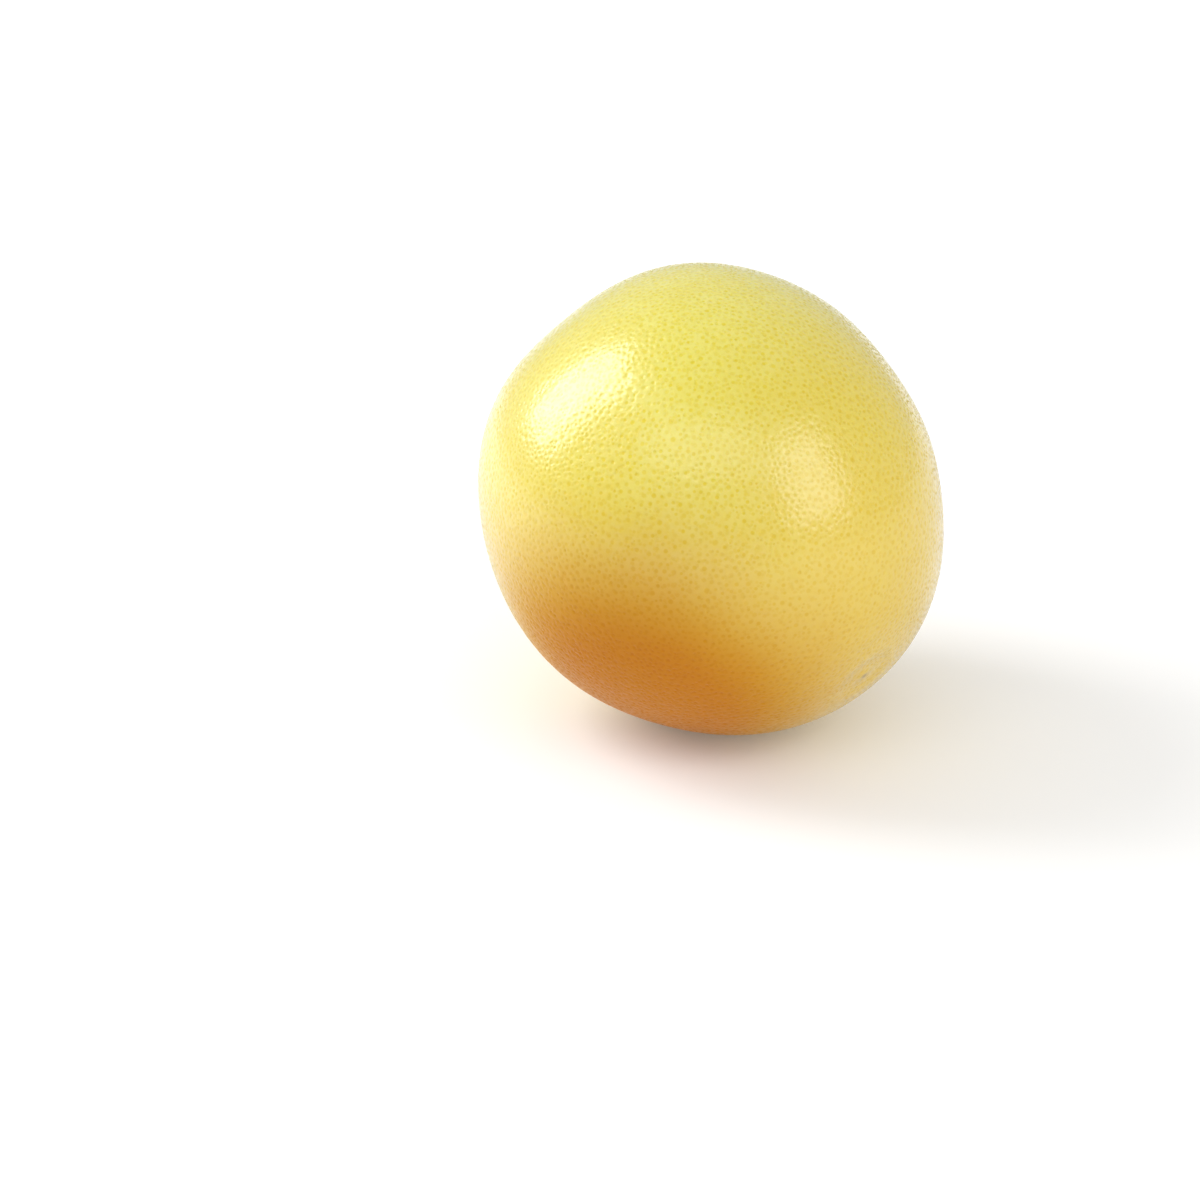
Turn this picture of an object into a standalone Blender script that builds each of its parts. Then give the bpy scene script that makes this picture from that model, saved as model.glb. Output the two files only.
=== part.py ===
"""A whole pomelo as picked, lying on a small flat spot with its stem end raised and turned away.

Run it with: blender --background --python part.py

The fruit is one solid: its rind is a sphere of directions pushed out to a radius that a formula gives.
The calyx with its cut stem is the other piece, plugged into a shallow seat at the stem end.
Lengths are in metres, +Z is up, and the origin is the middle of the flat spot. The side that is seen
in a picture taken along +Y has +X to its right.
"""

import math

import bmesh
import bpy
from mathutils import Matrix, Vector

MM = 0.001

# Driving dimensions of the fruit
FRUIT_LENGTH = 166.7 * MM  # stem end to blossom end, before the two hollows
FRUIT_WIDTH = 159 * MM  # across the equator
PEAR = 0.8 * MM  # how much the shoulders narrow and the blossom end broadens
SETTLE_DEPTH = 1.5 * MM  # how far the fruit flattens where it rests

# The stem end points up, back and to the left
STEM_BEARING = 137.8  # degrees round +Z from +X
STEM_HEIGHT = 32.0  # degrees above the horizontal

# Stem end: a hollow with the calyx in it, and furrows that run down the shoulder
STEM_HOLLOW_DEPTH = 3.0 * MM
STEM_HOLLOW_SPREAD = 8.0  # degrees from the stem axis
FURROW_HALF_WIDTH = 2.6 * MM
FURROW_START = 6.0  # degrees from the stem axis
FURROW_RAMP = 3.0  # degrees over which a furrow deepens and fades
# Each furrow: turn round the stem axis in degrees, depth, and where it ends in degrees from the axis
FURROWS = (
    (8, 0.9 * MM, 24),
    (49, 0.6 * MM, 17),
    (83, 1.0 * MM, 29),
    (127, 0.7 * MM, 20),
    (161, 0.9 * MM, 26),
    (203, 0.5 * MM, 16),
    (236, 1.1 * MM, 31),
    (281, 0.7 * MM, 19),
    (322, 0.9 * MM, 25),
)

# Blossom end: a broad dish, a faint ring and the nub where the style fell off
DISH_DEPTH = 2.0 * MM
DISH_SPREAD = 11.0
RING_HEIGHT = 0.5 * MM
RING_AT = 8.5
RING_SPREAD = 1.6
NUB_HEIGHT = 1.0 * MM
NUB_SPREAD = 1.7

# Low swells and flats of the rind: bearing and height in degrees, rise, and spread in degrees
SWELLS = (
    (11, 34.5, -3.2 * MM, 22),  # upper right, flattened
    (175.5, 20, 1.1 * MM, 22),  # upper left, full
    (-22.5, -39, 1.5 * MM, 24),  # lower right, full
    (109, 71, 1.1 * MM, 18),  # top, full
    (-117.5, -63, -2.2 * MM, 24),  # underside, flattened
    (-1.5, 5, -2.7 * MM, 20),  # right flank, flattened
    (162, 45.5, -2.2 * MM, 18),  # left shoulder, flattened
    (70, 12, 1.2 * MM, 26),  # back, full
    (100, -28, -1.3 * MM, 22),  # lower back, flattened
)

# How finely the rind is divided
RIND_SEGMENTS = 72
RIND_RINGS = 46
POLE_CROWDING = 0.55  # share by which rings draw together at the two ends

# The seat in the stem hollow, and the calyx that sits in it
SEAT_RADIUS = 4.7 * MM
SEAT_DEPTH = 2.4 * MM
FIT_GAP = 0.35 * MM  # clearance between the calyx and the rind
ROOT_RADIUS = 4.2 * MM
CALYX_SIDES = 50
CALYX_LOBES = 5
LOBE_INNER_RADIUS = 6.2 * MM
LOBE_OUTER_RADIUS = 8.6 * MM
LOBE_THICKNESS = 0.9 * MM
LOBE_LIFT = 0.25 * MM  # how far the lobe tips stand off the rind
LOBE_BLUNTNESS = 1.4  # higher makes the lobes narrower
STEM_RADIUS = 3.3 * MM
# The stem's flared foot: radius, and height above the calyx
STEM_FOOT = (
    (4.9 * MM, 0.3 * MM),
    (4.0 * MM, 0.9 * MM),
    (STEM_RADIUS, 2.0 * MM),
)
STEM_STUB = 4.6 * MM  # height of the cut above the calyx
STEM_BEVEL = 0.35 * MM
PITH_RADIUS = 0.9 * MM
PITH_DEPTH = 0.4 * MM
PITH_FLOOR_RADIUS = 0.6 * MM
SEAT_CUTTER_LENGTH = 10 * MM


def clear_scene():
    """Remove what the start-up scene holds."""
    for obj in list(bpy.data.objects):
        bpy.data.objects.remove(obj)


def make_material(name, colour, roughness):
    """A plain Principled material."""
    material = bpy.data.materials.new(name)
    material.use_nodes = True
    shader = material.node_tree.nodes["Principled BSDF"]
    shader.inputs["Base Color"].default_value = (*colour, 1.0)
    shader.inputs["Roughness"].default_value = roughness
    shader.inputs["Metallic"].default_value = 0.0
    return material


def add_object(name, mesh, material):
    """Put a mesh in the scene as a named object, shaded smooth."""
    mesh.materials.append(material)
    mesh.shade_smooth()
    obj = bpy.data.objects.new(name, mesh)
    bpy.context.scene.collection.objects.link(obj)
    return obj


def direction_at(bearing, height):
    """Unit vector for a bearing round +Z and a height above the horizontal, in degrees."""
    turn = math.radians(bearing)
    rise = math.radians(height)
    return Vector((math.cos(turn) * math.cos(rise), math.sin(turn) * math.cos(rise), math.sin(rise)))


def bell(offset, spread):
    """A smooth bump, 1 in the middle and fading over the spread."""
    return math.exp(-((offset / spread) ** 2))


def smooth_step(value, start, end):
    """0 before start, 1 after end, and a smooth rise between."""
    share = min(1.0, max(0.0, (value - start) / (end - start)))
    return share * share * (3 - 2 * share)


STEM_AXIS = direction_at(STEM_BEARING, STEM_HEIGHT)
TURN_ZERO = Vector((0, 0, 1)).cross(STEM_AXIS).normalized()
TURN_RIGHT = STEM_AXIS.cross(TURN_ZERO)
SWELL_FORMS = tuple((direction_at(b, h), rise, spread) for b, h, rise, spread in SWELLS)


def direction_from_stem(polar, turn):
    """Unit vector at an angle from the stem axis and a turn round it, in radians."""
    side = TURN_ZERO * math.cos(turn) + TURN_RIGHT * math.sin(turn)
    return STEM_AXIS * math.cos(polar) + side * math.sin(polar)


def furrow_depth(polar_degrees, turn_degrees):
    """How deep the furrows cut at a place on the shoulder."""
    from_axis = FRUIT_WIDTH / 2 * math.sin(math.radians(polar_degrees))
    depth = 0.0
    for furrow_turn, furrow_deep, furrow_end in FURROWS:
        apart = (turn_degrees - furrow_turn + 180) % 360 - 180
        across = math.radians(apart) * from_axis
        opened = smooth_step(polar_degrees, FURROW_START, FURROW_START + FURROW_RAMP)
        faded = smooth_step(polar_degrees, FURROW_START + FURROW_RAMP, furrow_end)
        depth += furrow_deep * opened * (1 - faded) * bell(across, FURROW_HALF_WIDTH)
    return depth


def rind_radius(direction):
    """Distance from the fruit's centre to its rind along a unit vector."""
    along = max(-1.0, min(1.0, direction.dot(STEM_AXIS)))
    across = math.sqrt(1 - along * along)
    half_length = FRUIT_LENGTH / 2
    half_width = FRUIT_WIDTH / 2
    radius = half_length * half_width / math.hypot(half_width * along, half_length * across)
    radius += PEAR * (5 * along**3 - 3 * along) / 2
    from_stem = math.degrees(math.acos(along))
    from_blossom = 180 - from_stem
    turn = math.degrees(math.atan2(direction.dot(TURN_RIGHT), direction.dot(TURN_ZERO)))
    radius -= STEM_HOLLOW_DEPTH * bell(from_stem, STEM_HOLLOW_SPREAD)
    radius -= furrow_depth(from_stem, turn)
    radius -= DISH_DEPTH * bell(from_blossom, DISH_SPREAD)
    radius += RING_HEIGHT * bell(from_blossom - RING_AT, RING_SPREAD)
    radius += NUB_HEIGHT * bell(from_blossom, NUB_SPREAD)
    for middle, rise, spread in SWELL_FORMS:
        apart = math.degrees(direction.angle(middle))
        radius += rise * bell(apart, spread)
    return radius


def crowded_polar(polar):
    """Draw the rings together towards the two ends, where the rind has its detail."""
    return polar - POLE_CROWDING * math.sin(2 * polar) / 2


def rind_shell():
    """The rind as a closed bmesh round the fruit's centre, before it is cut flat."""
    shell = bmesh.new()
    bmesh.ops.create_uvsphere(shell, u_segments=RIND_SEGMENTS, v_segments=RIND_RINGS, radius=1)
    for vert in shell.verts:
        polar = crowded_polar(math.acos(max(-1.0, min(1.0, vert.co.z))))
        turn = math.atan2(vert.co.y, vert.co.x)
        direction = direction_from_stem(polar, turn)
        vert.co = direction * rind_radius(direction)
    bmesh.ops.recalc_face_normals(shell, faces=shell.faces)
    return shell


def cut_flat(shell):
    """Cut the underside flat, and return the middle of the flat face."""
    floor = min(vert.co.z for vert in shell.verts) + SETTLE_DEPTH
    whole = [*shell.verts, *shell.edges, *shell.faces]
    cut = bmesh.ops.bisect_plane(
        shell, geom=whole, dist=1e-7, plane_co=(0, 0, floor), plane_no=(0, 0, -1), clear_outer=True
    )
    edges = [item for item in cut["geom_cut"] if isinstance(item, bmesh.types.BMEdge)]
    filled = bmesh.ops.contextual_create(shell, geom=edges)
    return filled["faces"][0].calc_center_median()


def stem_seat_height():
    """Distance from the fruit's centre to the floor of the seat, along the stem axis."""
    return rind_radius(STEM_AXIS) - SEAT_DEPTH


def cut_stem_seat(fruit, centre):
    """Sink the round seat for the calyx into the stem hollow."""
    mesh = bpy.data.meshes.new("seat_cutter")
    cutter_form = bmesh.new()
    bmesh.ops.create_cone(
        cutter_form,
        cap_ends=True,
        segments=CALYX_SIDES,
        radius1=SEAT_RADIUS,
        radius2=SEAT_RADIUS,
        depth=SEAT_CUTTER_LENGTH,
    )
    cutter_form.to_mesh(mesh)
    cutter_form.free()
    cutter = bpy.data.objects.new("seat_cutter", mesh)
    bpy.context.scene.collection.objects.link(cutter)
    cutter.location = centre + STEM_AXIS * (stem_seat_height() + SEAT_CUTTER_LENGTH / 2)
    cutter.rotation_euler = STEM_AXIS.to_track_quat("Z", "Y").to_euler()
    cutter.hide_render = True
    cutter.display_type = "WIRE"
    seat = fruit.modifiers.new("stem_seat", "BOOLEAN")
    seat.operation = "DIFFERENCE"
    seat.object = cutter


def build_fruit(material):
    """The fruit's object, and where its centre stands above the flat spot."""
    shell = rind_shell()
    flat_middle = cut_flat(shell)
    bmesh.ops.translate(shell, vec=-flat_middle, verts=shell.verts)
    mesh = bpy.data.meshes.new("pomelo_fruit")
    shell.to_mesh(mesh)
    shell.free()
    fruit = add_object("pomelo_fruit", mesh, material)
    cut_stem_seat(fruit, -flat_middle)
    return fruit, -flat_middle


def rind_height(from_axis, turn):
    """Height of the rind along the stem axis, at a distance from that axis."""
    polar = 0.0
    for _ in range(4):
        radius = rind_radius(direction_from_stem(polar, turn))
        polar = math.asin(from_axis / radius)
    return radius * math.cos(polar)


def lobe_radius(turn):
    """Outline of the calyx: five blunt lobes."""
    wave = abs(math.cos(CALYX_LOBES * turn / 2)) ** LOBE_BLUNTNESS
    return LOBE_INNER_RADIUS + (LOBE_OUTER_RADIUS - LOBE_INNER_RADIUS) * wave


def flat_ring(radius, height):
    """A ring function for a level circle."""
    return lambda turn: (radius, height)


def calyx_rings():
    """The calyx's rings from its root to the cut, each a function from a turn to (radius, height)."""
    floor = stem_seat_height() + FIT_GAP
    saddle = max(rind_height(LOBE_INNER_RADIUS, math.radians(t)) for t in range(0, 360, 10))
    foot = saddle + FIT_GAP + LOBE_THICKNESS

    def under(share):
        def place(turn):
            radius = ROOT_RADIUS + (lobe_radius(turn) - ROOT_RADIUS) * share
            height = rind_height(max(radius, SEAT_RADIUS), turn) + FIT_GAP + LOBE_LIFT * share
            return radius, height

        return place

    def tip(turn):
        radius, height = under(1.0)(turn)
        return radius, height + LOBE_THICKNESS / 2

    def shoulder(turn):
        radius = lobe_radius(turn) - LOBE_THICKNESS / 2
        return radius, rind_height(radius, turn) + FIT_GAP + LOBE_LIFT + LOBE_THICKNESS

    top = foot + STEM_STUB
    return [
        flat_ring(ROOT_RADIUS, floor),
        under(0.0),
        under(0.5),
        under(1.0),
        tip,
        shoulder,
        *(flat_ring(radius, foot + height) for radius, height in STEM_FOOT),
        flat_ring(STEM_RADIUS, top - STEM_BEVEL),
        flat_ring(STEM_RADIUS - STEM_BEVEL, top),
        flat_ring(PITH_RADIUS, top),
        flat_ring(PITH_FLOOR_RADIUS, top - PITH_DEPTH),
    ]


def place_ring(verts, ring):
    """Move a ring of vertices, which are in turning order, to where the ring function puts them."""
    for index, vert in enumerate(verts):
        turn = 2 * math.pi * index / len(verts)
        radius, height = ring(turn)
        vert.co = Vector((radius * math.cos(turn), radius * math.sin(turn), height))


def build_calyx(material, centre):
    """The calyx with its stem stub, one solid, standing on the seat along the stem axis."""
    form = bmesh.new()
    circle = bmesh.ops.create_circle(form, cap_ends=True, segments=CALYX_SIDES, radius=ROOT_RADIUS)
    verts = circle["verts"]
    edges = list(form.edges)
    rings = calyx_rings()
    place_ring(verts, rings[0])
    for ring in rings[1:]:
        grown = bmesh.ops.extrude_edge_only(form, edges=edges)["geom"]
        edges = [item for item in grown if isinstance(item, bmesh.types.BMEdge) and item.is_boundary]
        verts = list(following(verts, {vert for edge in edges for vert in edge.verts}))
        place_ring(verts, ring)
    bmesh.ops.contextual_create(form, geom=edges)
    bmesh.ops.recalc_face_normals(form, faces=form.faces)
    mesh = bpy.data.meshes.new("calyx_and_stem")
    form.to_mesh(mesh)
    form.free()
    calyx = add_object("calyx_and_stem", mesh, material)
    mesh.set_sharp_from_angle(angle=math.radians(40))
    calyx.location = centre
    calyx.rotation_euler = stem_frame().to_euler()
    return calyx


def following(verts, outer):
    """The extruded vertex that each vertex of the last ring is joined to."""
    for vert in verts:
        yield next(e.other_vert(vert) for e in vert.link_edges if e.other_vert(vert) in outer)


def stem_frame():
    """Rotation that carries +Z to the stem axis and +X to where turns are counted from."""
    return Matrix((TURN_ZERO, TURN_RIGHT, STEM_AXIS)).transposed()


def main():
    """Build the pomelo."""
    clear_scene()
    rind = make_material("rind", (0.86, 0.68, 0.12), 0.42)
    corky = make_material("calyx", (0.30, 0.28, 0.13), 0.8)
    _, centre = build_fruit(rind)
    build_calyx(corky, centre)


main()
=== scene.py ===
"""Looks of a whole pomelo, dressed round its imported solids.

The rind is one skin with its oil glands sunk into it one by one, laid on the form of the solid rind.
The calyx and the cut stem are finer pieces in the place of their solid. Lengths are in metres, in the
frame's own axes.
"""

import logging
import math
import random
from dataclasses import dataclass, field
from enum import Enum
from typing import Callable, Iterable

import bmesh
import bpy
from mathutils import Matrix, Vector, noise
from mathutils.bvhtree import BVHTree
from mathutils.interpolate import poly_3d_calc
from mathutils.kdtree import KDTree


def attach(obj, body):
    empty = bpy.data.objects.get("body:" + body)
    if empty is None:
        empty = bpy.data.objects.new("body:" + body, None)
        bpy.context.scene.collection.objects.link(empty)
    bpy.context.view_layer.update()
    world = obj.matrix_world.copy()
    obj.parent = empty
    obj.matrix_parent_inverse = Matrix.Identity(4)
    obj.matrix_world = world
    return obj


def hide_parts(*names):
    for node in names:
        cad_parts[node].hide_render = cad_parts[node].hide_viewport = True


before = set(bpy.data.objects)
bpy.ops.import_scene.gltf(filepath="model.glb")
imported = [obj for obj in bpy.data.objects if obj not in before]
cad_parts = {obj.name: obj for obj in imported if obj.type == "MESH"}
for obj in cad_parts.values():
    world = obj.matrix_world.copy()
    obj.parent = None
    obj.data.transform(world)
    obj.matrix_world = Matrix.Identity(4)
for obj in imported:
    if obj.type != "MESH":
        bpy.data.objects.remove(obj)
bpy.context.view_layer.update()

MM = 0.001
LOG = logging.getLogger("pomelo")

Colour = tuple[float, float, float]
Ring = Callable[[float], tuple[float, float]]  # turn in radians to radius and height along the stem axis

BODY = "root"
RIND_NODE = "pomelo_fruit"
CALYX_NODE = "calyx_and_stem"

# The fruit's form, as its solids have it
FORM_CENTRE = Vector((-4.86, 0.67, 78.79)) * MM  # above the middle of the resting spot
STEM_BEARING = 137.8  # degrees round +Z from +X
STEM_HEIGHT = 32.0  # degrees above the horizontal
SEAT_RADIUS = 4.8 * MM  # just outside the calyx's seat, where the height of the rind is read


class Coat(Enum):
    """The record's material slots that the pieces belong to."""

    RIND = "rind"
    CALYX = "calyx"


def direction_at(bearing: float, height: float) -> Vector:
    """Unit vector for a bearing round +Z and a height above the horizontal.

    Args:
        bearing: degrees round +Z from +X.
        height: degrees above the horizontal.

    Returns:
        The unit vector.
    """
    turn = math.radians(bearing)
    rise = math.radians(height)
    return Vector((math.cos(turn) * math.cos(rise), math.sin(turn) * math.cos(rise), math.sin(rise)))


STEM_AXIS = direction_at(STEM_BEARING, STEM_HEIGHT)
TURN_ZERO = Vector((0, 0, 1)).cross(STEM_AXIS).normalized()
TURN_RIGHT = STEM_AXIS.cross(TURN_ZERO)


def direction_from_stem(polar: float, turn: float) -> Vector:
    """Unit vector at an angle from the stem axis.

    Args:
        polar: angle from the stem axis, in radians.
        turn: turn round that axis, in radians.

    Returns:
        The unit vector.
    """
    side = TURN_ZERO * math.cos(turn) + TURN_RIGHT * math.sin(turn)
    return STEM_AXIS * math.cos(polar) + side * math.sin(polar)


class Nodes:
    """A material's node tree, with short ways to add and join its nodes."""

    def __init__(self, name: str) -> None:
        """Start a material.

        Args:
            name: the material's name.
        """
        self.material = bpy.data.materials.new(name)
        self.material.use_nodes = True
        self.tree = self.material.node_tree
        self.shader = self.tree.nodes["Principled BSDF"]

    def add(self, kind: str, **settings: object) -> bpy.types.Node:
        """Add a node.

        Args:
            kind: the node's class, without its ShaderNode prefix.
            **settings: properties to set on it.

        Returns:
            The new node.
        """
        node = self.tree.nodes.new("ShaderNode" + kind)
        for key, value in settings.items():
            setattr(node, key, value)
        return node

    def feed(self, value: object, socket: bpy.types.NodeSocket) -> None:
        """Link an output to a socket, or set the socket to a number or a colour.

        Args:
            value: the output, number or colour.
            socket: the input that takes it.
        """
        if isinstance(value, bpy.types.NodeSocket):
            self.tree.links.new(value, socket)
        elif socket.type == "RGBA":
            socket.default_value = (*value, 1.0)
        else:
            socket.default_value = value

    def place(self) -> bpy.types.NodeSocket:
        """The point's own position on the object, in metres."""
        return self.add("TexCoord").outputs["Object"]

    def grain(self, at: object, scale: float, detail: float, roughness: float = 0.5) -> bpy.types.NodeSocket:
        """A noise pattern.

        Args:
            at: where to read it.
            scale: patches to a metre.
            detail: how many finer layers it has.
            roughness: how strong the finer layers are.

        Returns:
            The noise, from 0 to 1.
        """
        node = self.add("TexNoise")
        for key, value in (("Vector", at), ("Scale", scale), ("Detail", detail), ("Roughness", roughness)):
            self.feed(value, node.inputs[key])
        return node.outputs["Fac"]

    def cells(self, at: object, scale: float) -> bpy.types.NodeSocket:
        """Distance to the nearest of many scattered points.

        Args:
            at: where to read it.
            scale: cells to a metre.

        Returns:
            The distance, in cells.
        """
        node = self.add("TexVoronoi")
        self.feed(at, node.inputs["Vector"])
        self.feed(scale, node.inputs["Scale"])
        return node.outputs["Distance"]

    def span(
        self, value: object, low: float, high: float, to_low: float = 0.0, to_high: float = 1.0
    ) -> bpy.types.NodeSocket:
        """Carry one range onto another with smooth ends.

        Args:
            value: the value to carry.
            low: start of its range.
            high: end of its range.
            to_low: what the start becomes.
            to_high: what the end becomes.

        Returns:
            The carried value.
        """
        node = self.add("MapRange", interpolation_type="SMOOTHSTEP")
        names = ("Value", "From Min", "From Max", "To Min", "To Max")
        for key, number in zip(names, (value, low, high, to_low, to_high)):
            self.feed(number, node.inputs[key])
        return node.outputs["Result"]

    def math(self, operation: str, first: object, second: object = 0.0) -> bpy.types.NodeSocket:
        """A Math node.

        Args:
            operation: the node's operation.
            first: its first value.
            second: its second value.

        Returns:
            The result.
        """
        node = self.add("Math", operation=operation)
        self.feed(first, node.inputs[0])
        self.feed(second, node.inputs[1])
        return node.outputs["Value"]

    def vector(self, operation: str, first: object, second: object = None) -> bpy.types.Node:
        """A Vector Math node.

        Args:
            operation: the node's operation.
            first: its first vector.
            second: its second vector, if it has one.

        Returns:
            The node, whose outputs hold the result.
        """
        node = self.add("VectorMath", operation=operation)
        self.feed(first, node.inputs[0])
        if second is not None:
            self.feed(second, node.inputs[1])
        return node

    def mix(self, share: object, first: object, second: object) -> bpy.types.NodeSocket:
        """Mix two colours.

        Args:
            share: how much of the second shows.
            first: the colour at 0.
            second: the colour at 1.

        Returns:
            The mixed colour.
        """
        node = self.add("Mix", data_type="RGBA")
        factor = next(s for s in node.inputs if s.name == "Factor" and s.type == "VALUE")
        first_in, second_in = (s for s in node.inputs if s.type == "RGBA")
        self.feed(share, factor)
        self.feed(first, first_in)
        self.feed(second, second_in)
        return next(s for s in node.outputs if s.type == "RGBA")

    def bump(self, height: object, metres: float, under: object = None) -> bpy.types.NodeSocket:
        """Relief in the shading.

        Args:
            height: the relief, from 0 to 1.
            metres: how high 1 stands.
            under: the normal of a coarser relief below it, or nothing.

        Returns:
            The normal.
        """
        node = self.add("Bump")
        self.feed(metres, node.inputs["Distance"])
        self.feed(height, node.inputs["Height"])
        if under is not None:
            self.feed(under, node.inputs["Normal"])
        return node.outputs["Normal"]

    def nearness(self, place: object, point: Vector, inner: float, outer: float) -> bpy.types.NodeSocket:
        """How near the surface is to a point.

        Args:
            place: the surface's position.
            point: the point.
            inner: distance up to which it is 1, in metres.
            outer: distance from which it is 0, in metres.

        Returns:
            The nearness, from 0 to 1.
        """
        return self.span(self.vector("DISTANCE", place, point).outputs["Value"], outer, inner)

    def from_axis(self, place: object, point: Vector, axis: Vector) -> bpy.types.NodeSocket:
        """Distance of the surface from a line.

        Args:
            place: the surface's position.
            point: a point of the line.
            axis: the line's unit vector.

        Returns:
            The distance, in metres.
        """
        offset = self.vector("SUBTRACT", place, point).outputs["Vector"]
        across = self.vector("CROSS_PRODUCT", offset, axis).outputs["Vector"]
        return self.vector("LENGTH", across).outputs["Value"]

    def finish(self, **inputs: object) -> bpy.types.Material:
        """Feed the Principled shader.

        Args:
            **inputs: its inputs by name, with _ for a space.

        Returns:
            The material.
        """
        for key, value in inputs.items():
            self.feed(value, self.shader.inputs[key.replace("_", " ")])
        return self.material


@dataclass(frozen=True)
class RindFinish:
    """Waxy lemon-yellow rind with deeper yellow glands.

    It is golden on one cheek and greener round the stem, and more golden low down, which is partly painted
    shade. Low on one side it is orange-brown: painted shade and warm reflected light over an orange tone of
    the rind.
    A core is the distance up to which a colour shows in full, and a reach the distance where it ends.
    """

    ground: Colour = (0.73, 0.675, 0.155)
    ground_deep: Colour = (0.69, 0.590, 0.045)
    gland_tint: Colour = (0.94, 0.855, 0.0)  # multiplies the ground in a gland
    golden: Colour = (0.69, 0.450, 0.030)
    # Orange-brown low on one side: painted shade and warm reflected light, over an orange tone of the rind.
    shade_and_blush: Colour = (0.50, 0.180, 0.003)
    stem_green: Colour = (0.44, 0.48, 0.07)
    scar: Colour = (0.40, 0.28, 0.08)

    mottle_scale: float = 300.0  # patches to a metre
    mottle_relief: float = 0.32 * MM
    grit_scale: float = 800.0
    grit_relief: float = 0.05 * MM
    pore_scale: float = 560.0
    pore_share: float = 0.5  # how strongly pores show beside glands
    pore_relief: float = 0.06 * MM
    gland_relief: float = 0.05 * MM  # on top of the modelled pit
    gland_fade: tuple[float, float] = (1.08, 0.45)  # from no mark to full mark, in pit radii
    pore_fade: tuple[float, float] = (0.48, 0.16)  # from no pore to full pore, in cells

    patch_scale: float = 26.0
    patch_lift: float = 50 * MM  # how far patches move the golden part's height
    patch_fade: tuple[float, float] = (0.34, 0.66)  # the patch noise's range, from ground to deep ground
    mottle_fade: tuple[float, float] = (0.38, 0.66)  # the same for the fine mottle
    deep_share: float = 0.5
    # More golden towards the bottom, by height: partly a golden tone of the rind, partly painted shade.
    golden_start: float = 175 * MM
    golden_full: float = 60 * MM
    golden_share: float = 0.84
    cheek_bearing: float = -33.0  # degrees round +Z from +X
    cheek_height: float = 25.0  # degrees above the horizontal
    cheek_core: float = 25 * MM
    cheek_reach: float = 85 * MM
    cheek_share: float = 0.36
    # Where the painted shade and warm reflected light low on one side is centred, and how far it reaches.
    shade_and_blush_bearing: float = -111.0
    shade_and_blush_height: float = -38.0
    shade_and_blush_core: float = 30 * MM
    shade_and_blush_reach: float = 92 * MM
    shade_and_blush_uneven: float = 12 * MM
    shade_and_blush_uneven_scale: float = 22.0
    green_core: float = 12 * MM
    green_reach: float = 60 * MM
    green_share: float = 0.42
    scar_core: float = 0.6 * MM
    scar_reach: float = 2.0 * MM

    roughness: tuple[float, float] = (0.30, 0.40)
    shine: tuple[float, float] = (0.4, 0.15)  # without the painted shade low on one side and at its full strength
    wax: tuple[float, float] = (1.0, 0.0)  # the same for the coat of wax
    wax_end: float = 0.8  # share of the painted shade low on one side at which the wax is gone
    wax_roughness: float = 0.20
    under_skin: Colour = (1.0, 0.7, 0.15)  # how far each colour of light spreads in the rind
    under_skin_share: float = 0.2
    under_skin_depth: float = 2.0 * MM

    def material(self, stem_point: Vector, blossom_point: Vector) -> bpy.types.Material:
        """Make the rind's material.

        Args:
            stem_point: middle of the stem hollow.
            blossom_point: middle of the blossom-end dish.

        Returns:
            The material.
        """
        nodes = Nodes("rind")
        place = nodes.place()
        mottle = nodes.grain(place, self.mottle_scale, detail=3.0, roughness=0.6)
        dot, tone = self.gland_dots(nodes)
        pores = nodes.span(nodes.cells(place, self.pore_scale), *self.pore_fade)
        # Painted shade and warm reflected light low on one side, over an orange tone of the rind.
        shade_and_blush = self.shade_and_blush_share(nodes, place)
        ground = nodes.mix(shade_and_blush, self.ground_colour(nodes, place, mottle, stem_point), self.shade_and_blush)
        glands = nodes.math("MULTIPLY", dot, tone)
        marks = nodes.math("MAXIMUM", glands, nodes.math("MULTIPLY", pores, self.pore_share))
        tint = nodes.mix(marks, (1.0, 1.0, 1.0), self.gland_tint)
        colour = nodes.vector("MULTIPLY", ground, tint).outputs["Vector"]
        scar = nodes.nearness(place, blossom_point, self.scar_core, self.scar_reach)
        colour = nodes.mix(scar, colour, self.scar)
        relief = nodes.bump(nodes.math("SUBTRACT", 1.0, dot), self.gland_relief)
        relief = nodes.bump(nodes.math("SUBTRACT", 1.0, pores), self.pore_relief, relief)
        relief = nodes.bump(mottle, self.mottle_relief, relief)
        grit = nodes.grain(place, self.grit_scale, detail=3.0, roughness=0.6)
        relief = nodes.bump(grit, self.grit_relief, relief)
        return nodes.finish(
            Base_Color=colour,
            Roughness=nodes.span(mottle, 0.3, 0.7, *self.roughness),
            Normal=relief,
            Subsurface_Weight=self.under_skin_share,
            Subsurface_Radius=self.under_skin,
            Subsurface_Scale=self.under_skin_depth,
            # The shine and the wax fade out under the painted shade low on one side.
            Specular_IOR_Level=nodes.span(shade_and_blush, 0.0, 1.0, *self.shine),
            Coat_Weight=nodes.span(shade_and_blush, 0.0, self.wax_end, *self.wax),
            Coat_Roughness=self.wax_roughness,
        )

    def shade_and_blush_share(self, nodes: Nodes, place: object) -> bpy.types.NodeSocket:
        """How far the orange-brown low on one side reaches: painted shade and warm reflected light over an
        orange tone of the rind.

        Args:
            nodes: the tree to add to.
            place: the surface's position.

        Returns:
            The share, from 0 to 1.
        """
        middle = FORM_CENTRE + direction_at(self.shade_and_blush_bearing, self.shade_and_blush_height) * FORM_CENTRE.z
        away = nodes.vector("DISTANCE", place, middle).outputs["Value"]
        uneven = nodes.grain(place, self.shade_and_blush_uneven_scale, detail=3.0)
        away = nodes.math("ADD", away, nodes.math("MULTIPLY", uneven, self.shade_and_blush_uneven))
        return nodes.span(away, self.shade_and_blush_reach, self.shade_and_blush_core)

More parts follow.
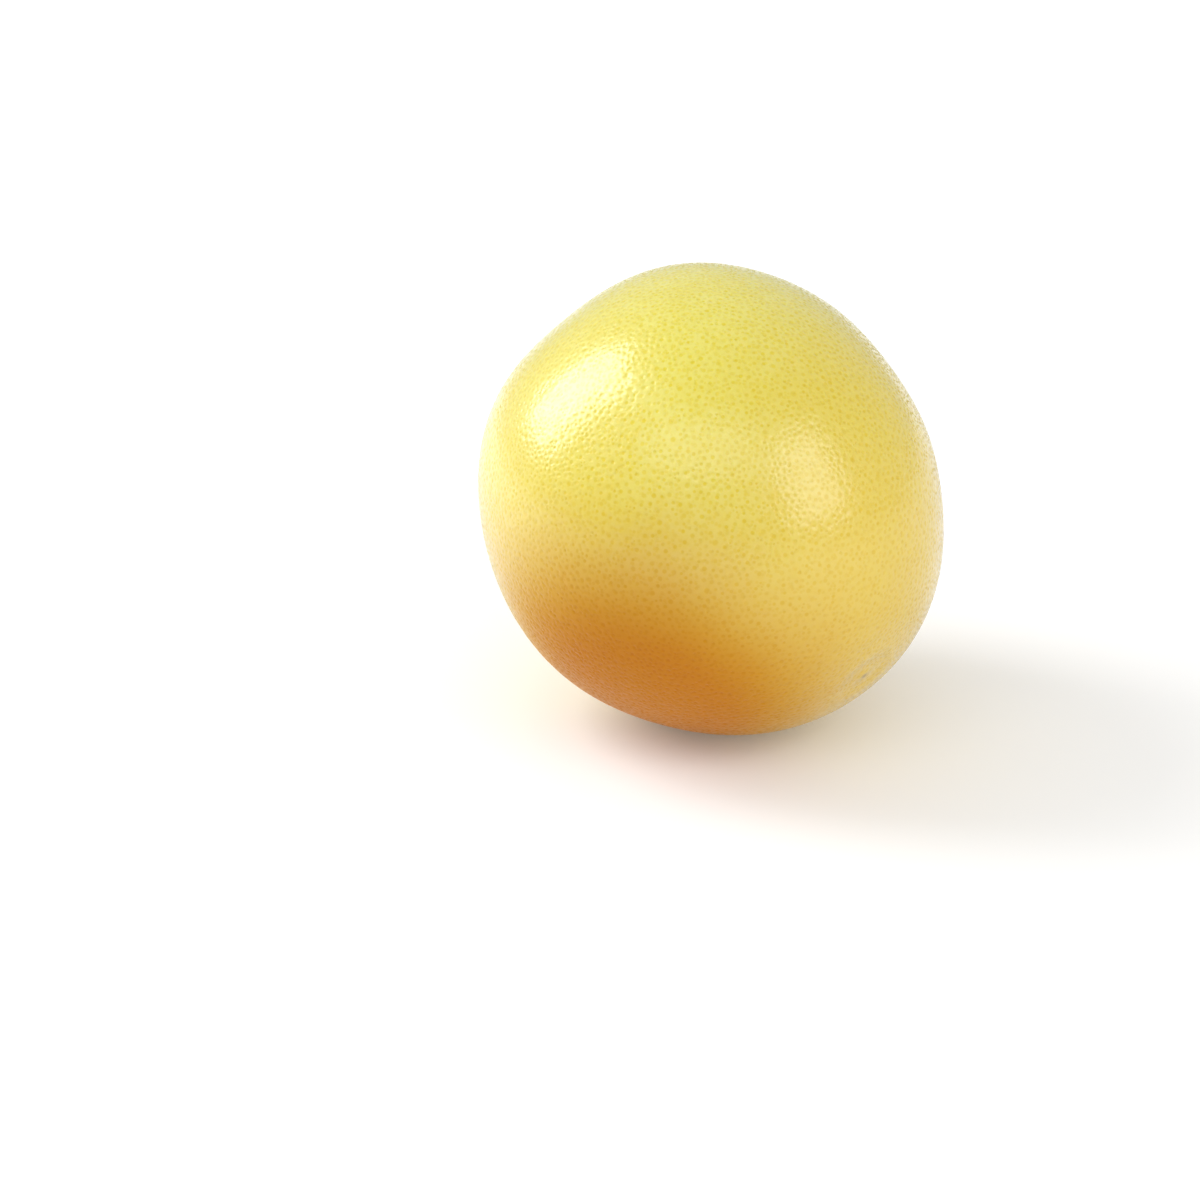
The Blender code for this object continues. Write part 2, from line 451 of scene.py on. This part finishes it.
    def ground_colour(
        self, nodes: Nodes, place: object, mottle: object, stem_point: Vector
    ) -> bpy.types.NodeSocket:
        """The rind's colour between its glands, without the orange-brown painted shade low on one side.

        Args:
            nodes: the tree to add to.
            place: the surface's position.
            mottle: fine noise.
            stem_point: middle of the stem hollow.

        Returns:
            The colour.
        """
        patches = nodes.grain(place, self.patch_scale, detail=4.0, roughness=0.55)
        height = nodes.vector("DOT_PRODUCT", place, Vector((0, 0, 1))).outputs["Value"]
        # More golden towards the bottom, by height with patches: partly the rind's tone, partly painted
        # shade.
        patchy_height = nodes.math("ADD", height, nodes.math("MULTIPLY", patches, self.patch_lift))
        low = nodes.span(patchy_height, self.golden_start, self.golden_full, 0.0, self.golden_share)
        cheek_middle = FORM_CENTRE + direction_at(self.cheek_bearing, self.cheek_height) * FORM_CENTRE.z
        cheek = nodes.nearness(place, cheek_middle, self.cheek_core, self.cheek_reach)
        near_stem = nodes.nearness(place, stem_point, self.green_core, self.green_reach)
        deep = nodes.span(patches, *self.patch_fade, 0.0, self.deep_share)
        colour = nodes.mix(deep, self.ground, self.ground_deep)
        deep = nodes.span(mottle, *self.mottle_fade, 0.0, self.deep_share)
        colour = nodes.mix(deep, colour, self.ground_deep)
        colour = nodes.mix(low, colour, self.golden)
        colour = nodes.mix(nodes.math("MULTIPLY", cheek, self.cheek_share), colour, self.golden)
        return nodes.mix(nodes.math("MULTIPLY", near_stem, self.green_share), colour, self.stem_green)

    def gland_dots(self, nodes: Nodes) -> tuple:
        """The round mark of each gland.

        Args:
            nodes: the tree to add to.

        Returns:
            The mark, 1 in a gland's middle and 0 outside it, and how strongly that gland shows.
        """
        spot = nodes.add("UVMap", uv_map=RindSkin.SPOT_MAP)
        reach = nodes.vector("LENGTH", spot.outputs["UV"]).outputs["Value"]
        tone = nodes.add("Attribute", attribute_name=RindSkin.TONE_NAME)
        return nodes.span(reach, *self.gland_fade), tone.outputs["Fac"]


@dataclass(frozen=True)
class CalyxFinish:
    """Dry leathery sepals, olive with brown edges."""

    olive: Colour = (0.16, 0.17, 0.045)
    brown: Colour = (0.13, 0.075, 0.03)
    pale: Colour = (0.32, 0.29, 0.13)
    edge_start: float = 5.0 * MM  # from the stem axis
    edge_full: float = 8.4 * MM
    patch_scale: float = 350.0  # patches to a metre
    patch_relief: float = 0.35 * MM
    grit_scale: float = 2600.0
    grit_relief: float = 0.12 * MM
    roughness: float = 0.78
    shine: float = 0.35

    def material(self) -> bpy.types.Material:
        """Make the calyx's material."""
        nodes = Nodes("calyx")
        place = nodes.place()
        patches = nodes.grain(place, self.patch_scale, detail=5.0, roughness=0.6)
        grit = nodes.grain(place, self.grit_scale, detail=4.0, roughness=0.6)
        reach = nodes.from_axis(place, FORM_CENTRE, STEM_AXIS)
        edge = nodes.span(reach, self.edge_start, self.edge_full)
        colour = nodes.mix(nodes.span(patches, 0.35, 0.62), self.olive, self.pale)
        colour = nodes.mix(nodes.math("MULTIPLY", edge, nodes.span(grit, 0.30, 0.62)), colour, self.brown)
        colour = nodes.mix(nodes.span(grit, 0.56, 0.72, 0.0, 0.6), colour, self.brown)
        relief = nodes.bump(patches, self.patch_relief)
        relief = nodes.bump(grit, self.grit_relief, relief)
        return nodes.finish(
            Base_Color=colour, Roughness=self.roughness, Normal=relief, Specular_IOR_Level=self.shine
        )


@dataclass(frozen=True)
class StemFinish:
    """Green-brown bark round pale cut wood with a darker pith."""

    bark: Colour = (0.20, 0.17, 0.06)
    bark_dark: Colour = (0.07, 0.05, 0.025)
    rim: Colour = (0.16, 0.14, 0.05)
    wood: Colour = (0.52, 0.42, 0.22)
    wood_dark: Colour = (0.33, 0.23, 0.10)
    pith: Colour = (0.26, 0.17, 0.08)
    pith_radius: float = 0.85 * MM
    pith_fade: float = 0.3 * MM
    ring_pitch: float = 0.62 * MM
    ring_wander: float = 0.5 * MM  # how far the grit moves the rings
    grit_scale: float = 1800.0  # patches to a metre
    grit_relief: float = 0.15 * MM
    roughness: float = 0.8
    shine: float = 0.3

    def material(self, cut_height: float, wood_radius: float) -> bpy.types.Material:
        """Make the stem's material.

        Args:
            cut_height: distance of the cut from the fruit's middle, along the stem axis.
            wood_radius: radius of the wood inside the bark.

        Returns:
            The material.
        """
        nodes = Nodes("stem")
        place = nodes.place()
        grit = nodes.grain(place, self.grit_scale, detail=4.0, roughness=0.6)
        bark = nodes.mix(nodes.span(grit, 0.35, 0.68), self.bark, self.bark_dark)
        reach = nodes.from_axis(place, FORM_CENTRE, STEM_AXIS)
        wobble = nodes.math("ADD", reach, nodes.math("MULTIPLY", grit, self.ring_wander))
        rings = nodes.math("SINE", nodes.math("MULTIPLY", wobble, math.tau / self.ring_pitch))
        wood = nodes.mix(nodes.span(rings, -0.4, 1.0, 0.0, 0.7), self.wood, self.wood_dark)
        pith = nodes.span(wobble, self.pith_radius + self.pith_fade, self.pith_radius)
        wood = nodes.mix(pith, wood, self.pith)
        wood = nodes.mix(nodes.span(wobble, wood_radius - 0.1 * MM, wood_radius + 0.15 * MM), wood, self.rim)
        offset = nodes.vector("SUBTRACT", place, FORM_CENTRE).outputs["Vector"]
        along = nodes.vector("DOT_PRODUCT", offset, STEM_AXIS).outputs["Value"]
        on_cut = nodes.span(along, cut_height - 0.45 * MM, cut_height - 0.15 * MM)
        colour = nodes.mix(on_cut, bark, wood)
        relief = nodes.bump(grit, self.grit_relief)
        return nodes.finish(
            Base_Color=colour, Roughness=self.roughness, Normal=relief, Specular_IOR_Level=self.shine
        )


@dataclass(frozen=True)
class FloorFinish:
    """Matt white sheet of a light table, whose own light begins away from the fruit."""

    colour: Colour = (0.88, 0.88, 0.88)
    near_glow: float = 0.1
    far_glow: float = 0.48
    glow_start: float = 0.15  # metres from the fruit
    glow_full: float = 1.2
    roughness: float = 0.9
    shine: float = 0.1

    def material(self) -> bpy.types.Material:
        """Make the floor's material."""
        nodes = Nodes("floor")
        reach = nodes.vector("LENGTH", nodes.place()).outputs["Value"]
        return nodes.finish(
            Base_Color=self.colour,
            Roughness=self.roughness,
            Specular_IOR_Level=self.shine,
            Emission_Color=(1.0, 1.0, 1.0),
            Emission_Strength=nodes.span(
                reach, self.glow_start, self.glow_full, self.near_glow, self.far_glow
            ),
        )


class RindForm:
    """The form of the solid rind, rounded between its facets and read along rays from its middle."""

    MERGE_REACH = 0.01 * MM  # corners nearer than this are one
    BULGE = 0.75  # share of the full curve that the corners' normals give
    FIRST_POLAR = 0.1  # radians, where the search for a height starts
    SETTLE_STEPS = 4

    def __init__(self, node: bpy.types.Object, seat_angle: float = 4.0) -> None:
        """Merge a copy of the solid's mesh and index it.

        Args:
            node: the solid's object.
            seat_angle: degrees from the stem axis within which the calyx's seat is passed over.
        """
        self.seat = math.radians(seat_angle)
        self.shell = bmesh.new()
        self.shell.from_mesh(node.data)
        bmesh.ops.remove_doubles(self.shell, verts=self.shell.verts[:], dist=self.MERGE_REACH)
        bmesh.ops.recalc_face_normals(self.shell, faces=self.shell.faces[:])
        self.shell.normal_update()
        self.shell.faces.ensure_lookup_table()
        self.tree = BVHTree.FromBMesh(self.shell)

    def radius(self, direction: Vector) -> float:
        """Distance from the middle to the rind.

        Args:
            direction: unit vector from the middle.

        Returns:
            The distance, with each facet bulged to the curve that its corners' normals give.
        """
        if direction.angle(STEM_AXIS) < self.seat:
            side = (direction - STEM_AXIS * direction.dot(STEM_AXIS)).normalized()
            direction = STEM_AXIS * math.cos(self.seat) + side * math.sin(self.seat)
        hit, _, index, _ = self.tree.ray_cast(FORM_CENTRE, direction)
        corners = self.shell.faces[index].verts
        weights = poly_3d_calc([corner.co for corner in corners], hit)
        curved = Vector()
        for corner, weight in zip(corners, weights):
            curved += (hit - (hit - corner.co).dot(corner.normal) * corner.normal) * weight
        return (hit.lerp(curved, self.BULGE) - FORM_CENTRE).dot(direction)

    def point(self, direction: Vector) -> Vector:
        """The point of the rind in a direction from the middle."""
        return FORM_CENTRE + direction * self.radius(direction)

    def height(self, from_axis: float, turn: float) -> float:
        """How far along the stem axis the rind stands.

        Args:
            from_axis: distance from the stem axis.
            turn: turn round it, in radians.

        Returns:
            The distance from the fruit's middle, along the stem axis.
        """
        polar = self.FIRST_POLAR
        reach = 0.0
        for _ in range(self.SETTLE_STEPS):
            reach = self.radius(direction_from_stem(polar, turn))
            polar = math.asin(from_axis / reach)
        return reach * math.cos(polar)


def add_piece(
    name: str, mesh: bmesh.types.BMesh, material: bpy.types.Material
) -> bpy.types.Object:
    """Put a finished mesh in the scene as a piece that rides on the fruit's body.

    Args:
        name: the piece's name.
        mesh: its mesh, in place, which is freed.
        material: its material.

    Returns:
        The piece.
    """
    data = bpy.data.meshes.new(name)
    mesh.to_mesh(data)
    mesh.free()
    data.materials.append(material)
    data.shade_smooth()
    piece = bpy.data.objects.new(name, data)
    bpy.context.scene.collection.objects.link(piece)
    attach(piece, BODY)
    LOG.info("%s: %d faces", name, len(data.polygons))
    return piece


@dataclass
class RindSkin:
    """The rind's skin, with each oil gland a round pit of its own."""

    SPOT_MAP = "glands"
    TONE_NAME = "gland_tone"

    finish: RindFinish = field(default_factory=RindFinish)
    grid_cuts: int = 36
    jitter: float = 0.5  # in steps of the grid
    relax_steps: int = 3
    bevel_reach: float = 0.3 * MM  # how far a corner is first opened
    pit_radius: float = 1.05 * MM
    pit_spread: float = 0.28  # how far a pit's radius differs, as a share of it
    pit_share: float = 0.45  # greatest radius, as a share of the distance to the next pit
    pit_depth: float = 0.24 * MM
    depth_range: tuple[float, float] = (0.6, 1.3)
    strength_range: tuple[float, float] = (0.3, 0.95)
    outside: tuple[float, float] = (2.0, 0.0)  # place on the map of what is in no gland
    even_steps: int = 2
    seed: int = 11

    def build(self, form: RindForm) -> bpy.types.Object:
        """Model the skin and dress it.

        Args:
            form: the form of the solid rind.

        Returns:
            The skin.
        """
        rng = random.Random(self.seed)
        skin = self.gland_net(rng)
        rings = self.open_rings(skin, rng)
        middles = bmesh.ops.poke(skin, faces=rings, center_mode="MEAN")["verts"]
        self.lay_on_form(skin, form)
        self.sink(middles, rng)
        for vert in skin.verts:
            vert.co.z = max(vert.co.z, 0.0)
        self.mark_glands(skin, middles, rng)
        bmesh.ops.recalc_face_normals(skin, faces=skin.faces[:])
        material = self.finish.material(form.point(STEM_AXIS), form.point(-STEM_AXIS))
        piece = add_piece("rind_skin", skin, material)
        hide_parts(RIND_NODE)
        return piece

    def gland_net(self, rng: random.Random) -> bmesh.types.BMesh:
        """An even but irregular net of triangles round the fruit's middle, with a gland at each corner.

        Args:
            rng: the source of the irregularity.

        Returns:
            The net, as a sphere about as large as the fruit.
        """
        net = bmesh.new()
        net.loops.layers.uv.new(self.SPOT_MAP)
        net.verts.layers.float.new(self.TONE_NAME)
        bmesh.ops.create_icosphere(net, subdivisions=1, radius=1.0)
        bmesh.ops.subdivide_edges(net, edges=net.edges[:], cuts=self.grid_cuts, use_grid_fill=True)
        step = math.sqrt(4 * math.pi / len(net.verts))
        for vert in net.verts:
            shake = Vector([rng.uniform(-1, 1) for _ in range(3)])
            vert.co = (vert.co.normalized() + shake * step * self.jitter).normalized()
        bmesh.ops.beautify_fill(net, faces=net.faces[:], edges=net.edges[:], method="ANGLE")
        for _ in range(self.relax_steps):
            bmesh.ops.smooth_vert(
                net, verts=net.verts[:], factor=0.5, use_axis_x=True, use_axis_y=True, use_axis_z=True
            )
        for vert in net.verts:
            vert.co = vert.co.normalized() * FORM_CENTRE.z
        return net

    def open_rings(self, net: bmesh.types.BMesh, rng: random.Random) -> list:
        """Open each corner of the net into the round rim of a pit.

        Args:
            net: the net of glands.
            rng: the source of the pits' differing sizes.

        Returns:
            The rims' faces.
        """
        rings = bmesh.ops.bevel(
            net,
            geom=net.verts[:],
            offset=self.bevel_reach,
            offset_type="OFFSET",
            affect="VERTICES",
            segments=1,
            profile=0.5,
            clamp_overlap=True,
            material=-1,
        )["faces"]
        middles = [ring.calc_center_median() for ring in rings]
        index = KDTree(len(middles))
        for number, middle in enumerate(middles):
            index.insert(middle, number)
        index.balance()
        for ring, middle in zip(rings, middles):
            spacing = index.find_n(middle, 2)[1][2]
            wanted = self.pit_radius * (1 + rng.uniform(-self.pit_spread, self.pit_spread))
            reach = min(wanted, spacing * self.pit_share)
            for vert in ring.verts:
                vert.co = middle + (vert.co - middle).normalized() * reach
        return rings

    def lay_on_form(self, skin: bmesh.types.BMesh, form: RindForm) -> None:
        """Move every point along its ray to the form of the rind, and even out what is left of the facets.

        Args:
            skin: the skin, round the fruit's middle, which is also moved into place.
            form: the form of the rind.
        """
        skin.verts.index_update()
        directions = [vert.co.normalized() for vert in skin.verts]
        reaches = [form.radius(direction) for direction in directions]
        beside = [[edge.other_vert(vert).index for edge in vert.link_edges] for vert in skin.verts]
        for _ in range(self.even_steps):
            means = [sum(reaches[i] for i in near) / len(near) for near in beside]
            reaches = [(reach + mean) / 2 for reach, mean in zip(reaches, means)]
        for vert, direction, reach in zip(skin.verts, directions, reaches):
            vert.co = FORM_CENTRE + direction * reach

    def sink(self, middles: Iterable, rng: random.Random) -> None:
        """Sink the glands' middles.

        Args:
            middles: the points in the middle of the glands.
            rng: the source of the differing depths.
        """
        for vert in middles:
            out = (vert.co - FORM_CENTRE).normalized()
            vert.co -= out * self.pit_depth * rng.uniform(*self.depth_range)

    def mark_glands(self, skin: bmesh.types.BMesh, middles: Iterable, rng: random.Random) -> None:
        """Write where each point lies in its gland, with the rim at 1, and how strongly the gland shows.

        Args:
            skin: the skin.
            middles: the points in the middle of the glands.
            rng: the source of the differing strengths.
        """
        spot = skin.loops.layers.uv[self.SPOT_MAP]
        tone = skin.verts.layers.float[self.TONE_NAME]
        for face in skin.faces:
            for loop in face.loops:
                loop[spot].uv = self.outside
        for middle in middles:
            out = (middle.co - FORM_CENTRE).normalized()
            side = out.orthogonal().normalized()
            up = out.cross(side)
            strength = rng.uniform(*self.strength_range)
            middle[tone] = strength
            rim = [edge.other_vert(middle) for edge in middle.link_edges]
            inner = min((vert.co - middle.co).length for vert in rim) * math.cos(math.pi / max(5, len(rim)))
            for vert in rim:
                vert[tone] = strength
            for face in middle.link_faces:
                for loop in face.loops:
                    offset = loop.vert.co - middle.co
                    loop[spot].uv = (offset.dot(side) / inner, offset.dot(up) / inner)


def turned_rings(sides: int, rings: Iterable[Ring]) -> bmesh.types.BMesh:
    """Extrude a closed piece ring by ring round the stem axis.

    Args:
        sides: points in a ring.
        rings: the rings, in the order in which they are joined.

    Returns:
        The piece, in place.
    """
    form = bmesh.new()
    verts = bmesh.ops.create_circle(form, cap_ends=True, segments=sides, radius=1.0)["verts"]
    edges = form.edges[:]
    for number, ring in enumerate(rings):
        if number:
            grown = bmesh.ops.extrude_edge_only(form, edges=edges)["geom"]
            edges = [item for item in grown if isinstance(item, bmesh.types.BMEdge) and item.is_boundary]
            outer = {vert for edge in edges for vert in edge.verts}
            verts = [next(e.other_vert(v) for e in v.link_edges if e.other_vert(v) in outer) for v in verts]
        for index, vert in enumerate(verts):
            turn = math.tau * index / sides
            radius, height = ring(turn)
            side = TURN_ZERO * math.cos(turn) + TURN_RIGHT * math.sin(turn)
            vert.co = FORM_CENTRE + side * radius + STEM_AXIS * height
    bmesh.ops.contextual_create(form, geom=edges)
    caps = [face for face in form.faces if len(face.verts) > 4]  # between rings, all have four corners
    bmesh.ops.poke(form, faces=caps, center_mode="MEAN")
    bmesh.ops.recalc_face_normals(form, faces=form.faces[:])
    return form


def wrinkle(turn: float, height: float, pitch: float, seed: float, along: float = 300.0) -> float:
    """A smooth random value from -1 to 1 that closes on itself round the axis.

    Args:
        turn: turn round the axis, in radians.
        height: height along it, in metres.
        pitch: how many wrinkles go round.
        seed: picks another pattern.
        along: wrinkles to a metre of height.

    Returns:
        The value.
    """
    return noise.noise(Vector((math.cos(turn) * pitch, math.sin(turn) * pitch, height * along + seed)))


@dataclass
class Calyx:
    """The five sepals, grown together into a thick lobed collar."""

    finish: CalyxFinish = field(default_factory=CalyxFinish)
    sides: int = 140
    lobes: int = 5
    foot_radius: float = 2.5 * MM
    inner_radius: float = 6.2 * MM
    outer_radius: float = 8.6 * MM
    bluntness: float = 1.4  # of the lobes' tips
    rib_bluntness: float = 0.6
    rib_share: float = 0.6  # of a ring's crease, in the ribs
    fold_share: float = 0.5  # of a ring's crease, in the folds
    raggedness: float = 0.35 * MM
    sunk: float = 0.5 * MM
    thickness: float = 1.25 * MM
    collar_radius: float = 4.3 * MM
    collar_height: float = 1.3 * MM
    mouth_wall: float = 0.5 * MM
    throat_radius: float = 2.8 * MM

    def edge(self, turn: float) -> float:
        """Radius of the lobed outline at a turn."""
        wave = abs(math.cos(self.lobes * turn / 2)) ** self.bluntness
        ragged = wrinkle(turn, 0.0, pitch=5.0, seed=3.0) * self.raggedness
        return self.inner_radius + (self.outer_radius - self.inner_radius) * wave + ragged

    def build(self, form: RindForm) -> bpy.types.Object:
        """Model the calyx and dress it.

        Args:
            form: the form of the rind that it sits on.

        Returns:
            The calyx.
        """
        collar = turned_rings(self.sides, self.rings(form))
        piece = add_piece("calyx_lobes", collar, self.finish.material())
        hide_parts(CALYX_NODE)
        return piece

    def rings(self, form: RindForm) -> list[Ring]:
        """The rings, from under the middle out to the edge and up to the collar's mouth.

        Args:
            form: the form of the rind.

        Returns:
            The ring functions.
        """

        def station(share: float, lift: float, crease: float) -> Ring:
            """Ring at a share of the way from collar to edge.

            Args:
                share: the share, 0 at the collar and 1 at the edge.
                lift: how far it stands off the rind, in metres.
                crease: how deep its ribs and folds are, in millimetres.

            Returns:
                The ring function.
            """

            def ring(turn: float) -> tuple[float, float]:
                """Radius and height at a turn."""
                edge = self.edge(turn)
                radius = self.collar_radius + (edge - self.collar_radius) * share
                rib = abs(math.cos(self.lobes * turn / 2)) ** self.rib_bluntness
                fold = wrinkle(turn, share * 4 * MM, pitch=7.0, seed=9.0)
                height = form.height(max(radius, SEAT_RADIUS), turn) + lift
                return radius, height + crease * (self.rib_share * rib + self.fold_share * fold) * MM

            return ring

        top = self.thickness
        return [
            lambda turn: (self.foot_radius, form.height(SEAT_RADIUS, turn) - self.sunk),
            station(0.3, -self.sunk, 0.0),
            station(0.85, -self.sunk * 0.6, 0.0),
            station(0.97, 0.05 * MM, 0.0),
            station(1.0, top * 0.35, 0.1),
            station(0.96, top * 0.75, 0.2),
            station(0.86, top * 0.95, 0.35),
            station(0.72, top * 1.0, 0.5),
            station(0.55, top * 1.05, 0.55),
            station(0.38, top * 1.1, 0.5),
            station(0.22, top * 1.2, 0.4),
            station(0.1, top * 1.45, 0.25),
            station(0.0, top * 1.3 + self.collar_height, 0.1),
            lambda turn: (
                self.collar_radius - self.mouth_wall,
                form.height(SEAT_RADIUS, turn) + top + self.collar_height,
            ),
            lambda turn: (self.throat_radius, form.height(SEAT_RADIUS, turn) + top * 0.8),
        ]


@dataclass
class StemStub:
    """The stump of the stalk, cut square above the calyx."""

    finish: StemFinish = field(default_factory=StemFinish)
    sides: int = 96
    radius: float = 3.2 * MM
    foot_radius: float = 4.0 * MM
    foot: float = 1.0 * MM
    length: float = 5.6 * MM
    bark: float = 0.45 * MM
    ridge_height: float = 0.4 * MM
    shaft_steps: int = 7
    cut_bevel: float = 0.3 * MM
    cut_roughness: float = 0.06 * MM
    pith_radius: float = 0.8 * MM

    def build(self, form: RindForm) -> bpy.types.Object:
        """Model the stump and dress it.

        Args:
            form: the form of the rind.

        Returns:
            The stump.
        """
        base = form.height(SEAT_RADIUS, 0.0)
        cut = base + self.foot + self.length

        def bark_ring(radius: float, height: float) -> Ring:
            """Ring of ridged bark."""

            def ring(turn: float) -> tuple[float, float]:
                """Radius and height at a turn."""
                broad = wrinkle(turn, height * 0.2, pitch=4.0, seed=21.0)
                fine = wrinkle(turn, height, pitch=9.0, seed=5.0)
                return radius + (broad * 0.5 + fine * 0.25) * self.ridge_height, height

            return ring

        def cut_ring(radius: float, drop: float) -> Ring:
            """Ring of the cut, a drop below its highest part."""

            def ring(turn: float) -> tuple[float, float]:
                """Radius and height at a turn."""
                rough = wrinkle(turn, radius, pitch=3.0, seed=7.0) * self.cut_roughness
                return radius, cut - drop + rough

            return ring

        shaft = [
            bark_ring(
                self.radius + (self.foot_radius - self.radius) * (1 - number / self.shaft_steps) ** 3,
                base + self.foot + (self.length - self.cut_bevel) * number / self.shaft_steps,
            )
            for number in range(self.shaft_steps + 1)
        ]
        rings = [
            bark_ring(self.foot_radius, base),
            *shaft,
            bark_ring(self.radius - 0.12 * MM, cut - 0.1 * MM),
            cut_ring(self.radius - self.cut_bevel, 0.0),
            cut_ring(self.radius - self.bark, 0.05 * MM),
            cut_ring((self.radius - self.bark) * 0.7, 0.02 * MM),
            cut_ring(self.pith_radius * 1.25, 0.04 * MM),
            cut_ring(self.pith_radius, 0.2 * MM),
            cut_ring(self.pith_radius * 0.5, 0.34 * MM),
        ]
        material = self.finish.material(cut, self.radius - self.bark)
        stump = turned_rings(self.sides, rings)
        piece = add_piece("stem_stump", stump, material)
        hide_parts(CALYX_NODE)
        return piece


@dataclass(frozen=True)
class Lamp:
    """A rectangular softbox that faces the fruit."""

    name: str
    bearing: float  # degrees round +Z from +X
    height: float  # degrees above the horizontal
    distance: float
    size: tuple[float, float]
    power: float  # watts

    def build(self) -> None:
        """Set the lamp up."""
        data = bpy.data.lights.new(self.name, "AREA")
        data.shape = "RECTANGLE"
        data.size, data.size_y = self.size
        data.energy = self.power
        lamp = bpy.data.objects.new(self.name, data)
        bpy.context.scene.collection.objects.link(lamp)
        aim = direction_at(self.bearing, self.height)
        lamp.location = FORM_CENTRE + aim * self.distance
        lamp.rotation_euler = aim.to_track_quat("Z", "Y").to_euler()


@dataclass
class Studio:
    """Pale floor, soft light and the camera at the photograph's viewing angle."""

    finish: FloorFinish = field(default_factory=FloorFinish)
    frame_side: float = 1200.0  # pixels
    fruit_at: tuple[float, float] = (713.4, 502.2)  # the fruit's middle in the photograph, in pixels
    lens: float = 85.0  # millimetres, as the sensor is
    sensor: float = 36.0
    camera_distance: float = 0.98
    camera_bearing: float = -90.0  # degrees round +Z from +X
    camera_height: float = 21.0  # degrees above the horizontal
    floor_radius: float = 6.0
    sky: float = 0.64
    lamps: tuple[Lamp, ...] = (
        Lamp("key", bearing=165.6, height=35.0, distance=1.1, size=(0.5, 0.85), power=8.4),
        Lamp("side", bearing=-39.5, height=28.5, distance=1.1, size=(0.54, 0.76), power=3.4),
        Lamp("front", bearing=-100.0, height=48.0, distance=1.4, size=(1.2, 0.6), power=3.0),
    )

    def build(self) -> None:
        """Set the studio up."""
        self.camera()
        self.floor()
        self.world()
        for lamp in self.lamps:
            lamp.build()
        bpy.context.scene.view_settings.view_transform = "Standard"

    def camera(self) -> None:
        """Place the camera, and turn it so that the fruit's middle falls where the photograph has it."""
        data = bpy.data.cameras.new("camera")
        data.lens = self.lens
        data.sensor_width = self.sensor
        data.clip_start = 0.05
        data.clip_end = 50.0
        camera = bpy.data.objects.new("camera", data)
        bpy.context.scene.collection.objects.link(camera)
        towards = direction_at(self.camera_bearing, self.camera_height)
        camera.location = FORM_CENTRE + towards * self.camera_distance
        focal = self.lens / self.sensor * self.frame_side
        across = self.fruit_at[0] - self.frame_side / 2
        above = self.frame_side / 2 - self.fruit_at[1]
        down = math.radians(self.camera_height)
        reach = math.sqrt(across**2 + above**2 + focal**2)
        turned = math.asin(across / reach / math.cos(down))
        fallen = math.atan2(math.sin(down), math.cos(down) * math.cos(turned))
        pitch = fallen + math.atan2(above, focal)
        camera.rotation_euler = (math.pi / 2 - pitch, 0.0, turned)
        bpy.context.scene.camera = camera

    def floor(self) -> None:
        """Lay the floor."""
        disc = bmesh.new()
        bmesh.ops.create_circle(disc, cap_ends=True, segments=96, radius=self.floor_radius)
        data = bpy.data.meshes.new("floor")
        disc.to_mesh(data)
        disc.free()
        data.materials.append(self.finish.material())
        floor = bpy.data.objects.new("floor", data)
        bpy.context.scene.collection.objects.link(floor)

    def world(self) -> None:
        """Light the room evenly."""
        world = bpy.data.worlds.new("studio")
        world.use_nodes = True
        back = world.node_tree.nodes["Background"]
        back.inputs["Color"].default_value = (1.0, 1.0, 1.0, 1.0)
        back.inputs["Strength"].default_value = self.sky
        bpy.context.scene.world = world


def main() -> None:
    """Build the studio and the pieces."""
    logging.basicConfig(level=logging.INFO, format="%(name)s: %(message)s")
    Studio().build()
    form = RindForm(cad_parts[RIND_NODE])
    RindSkin().build(form)
    Calyx().build(form)
    StemStub().build(form)


if __name__ == "__main__":
    main()
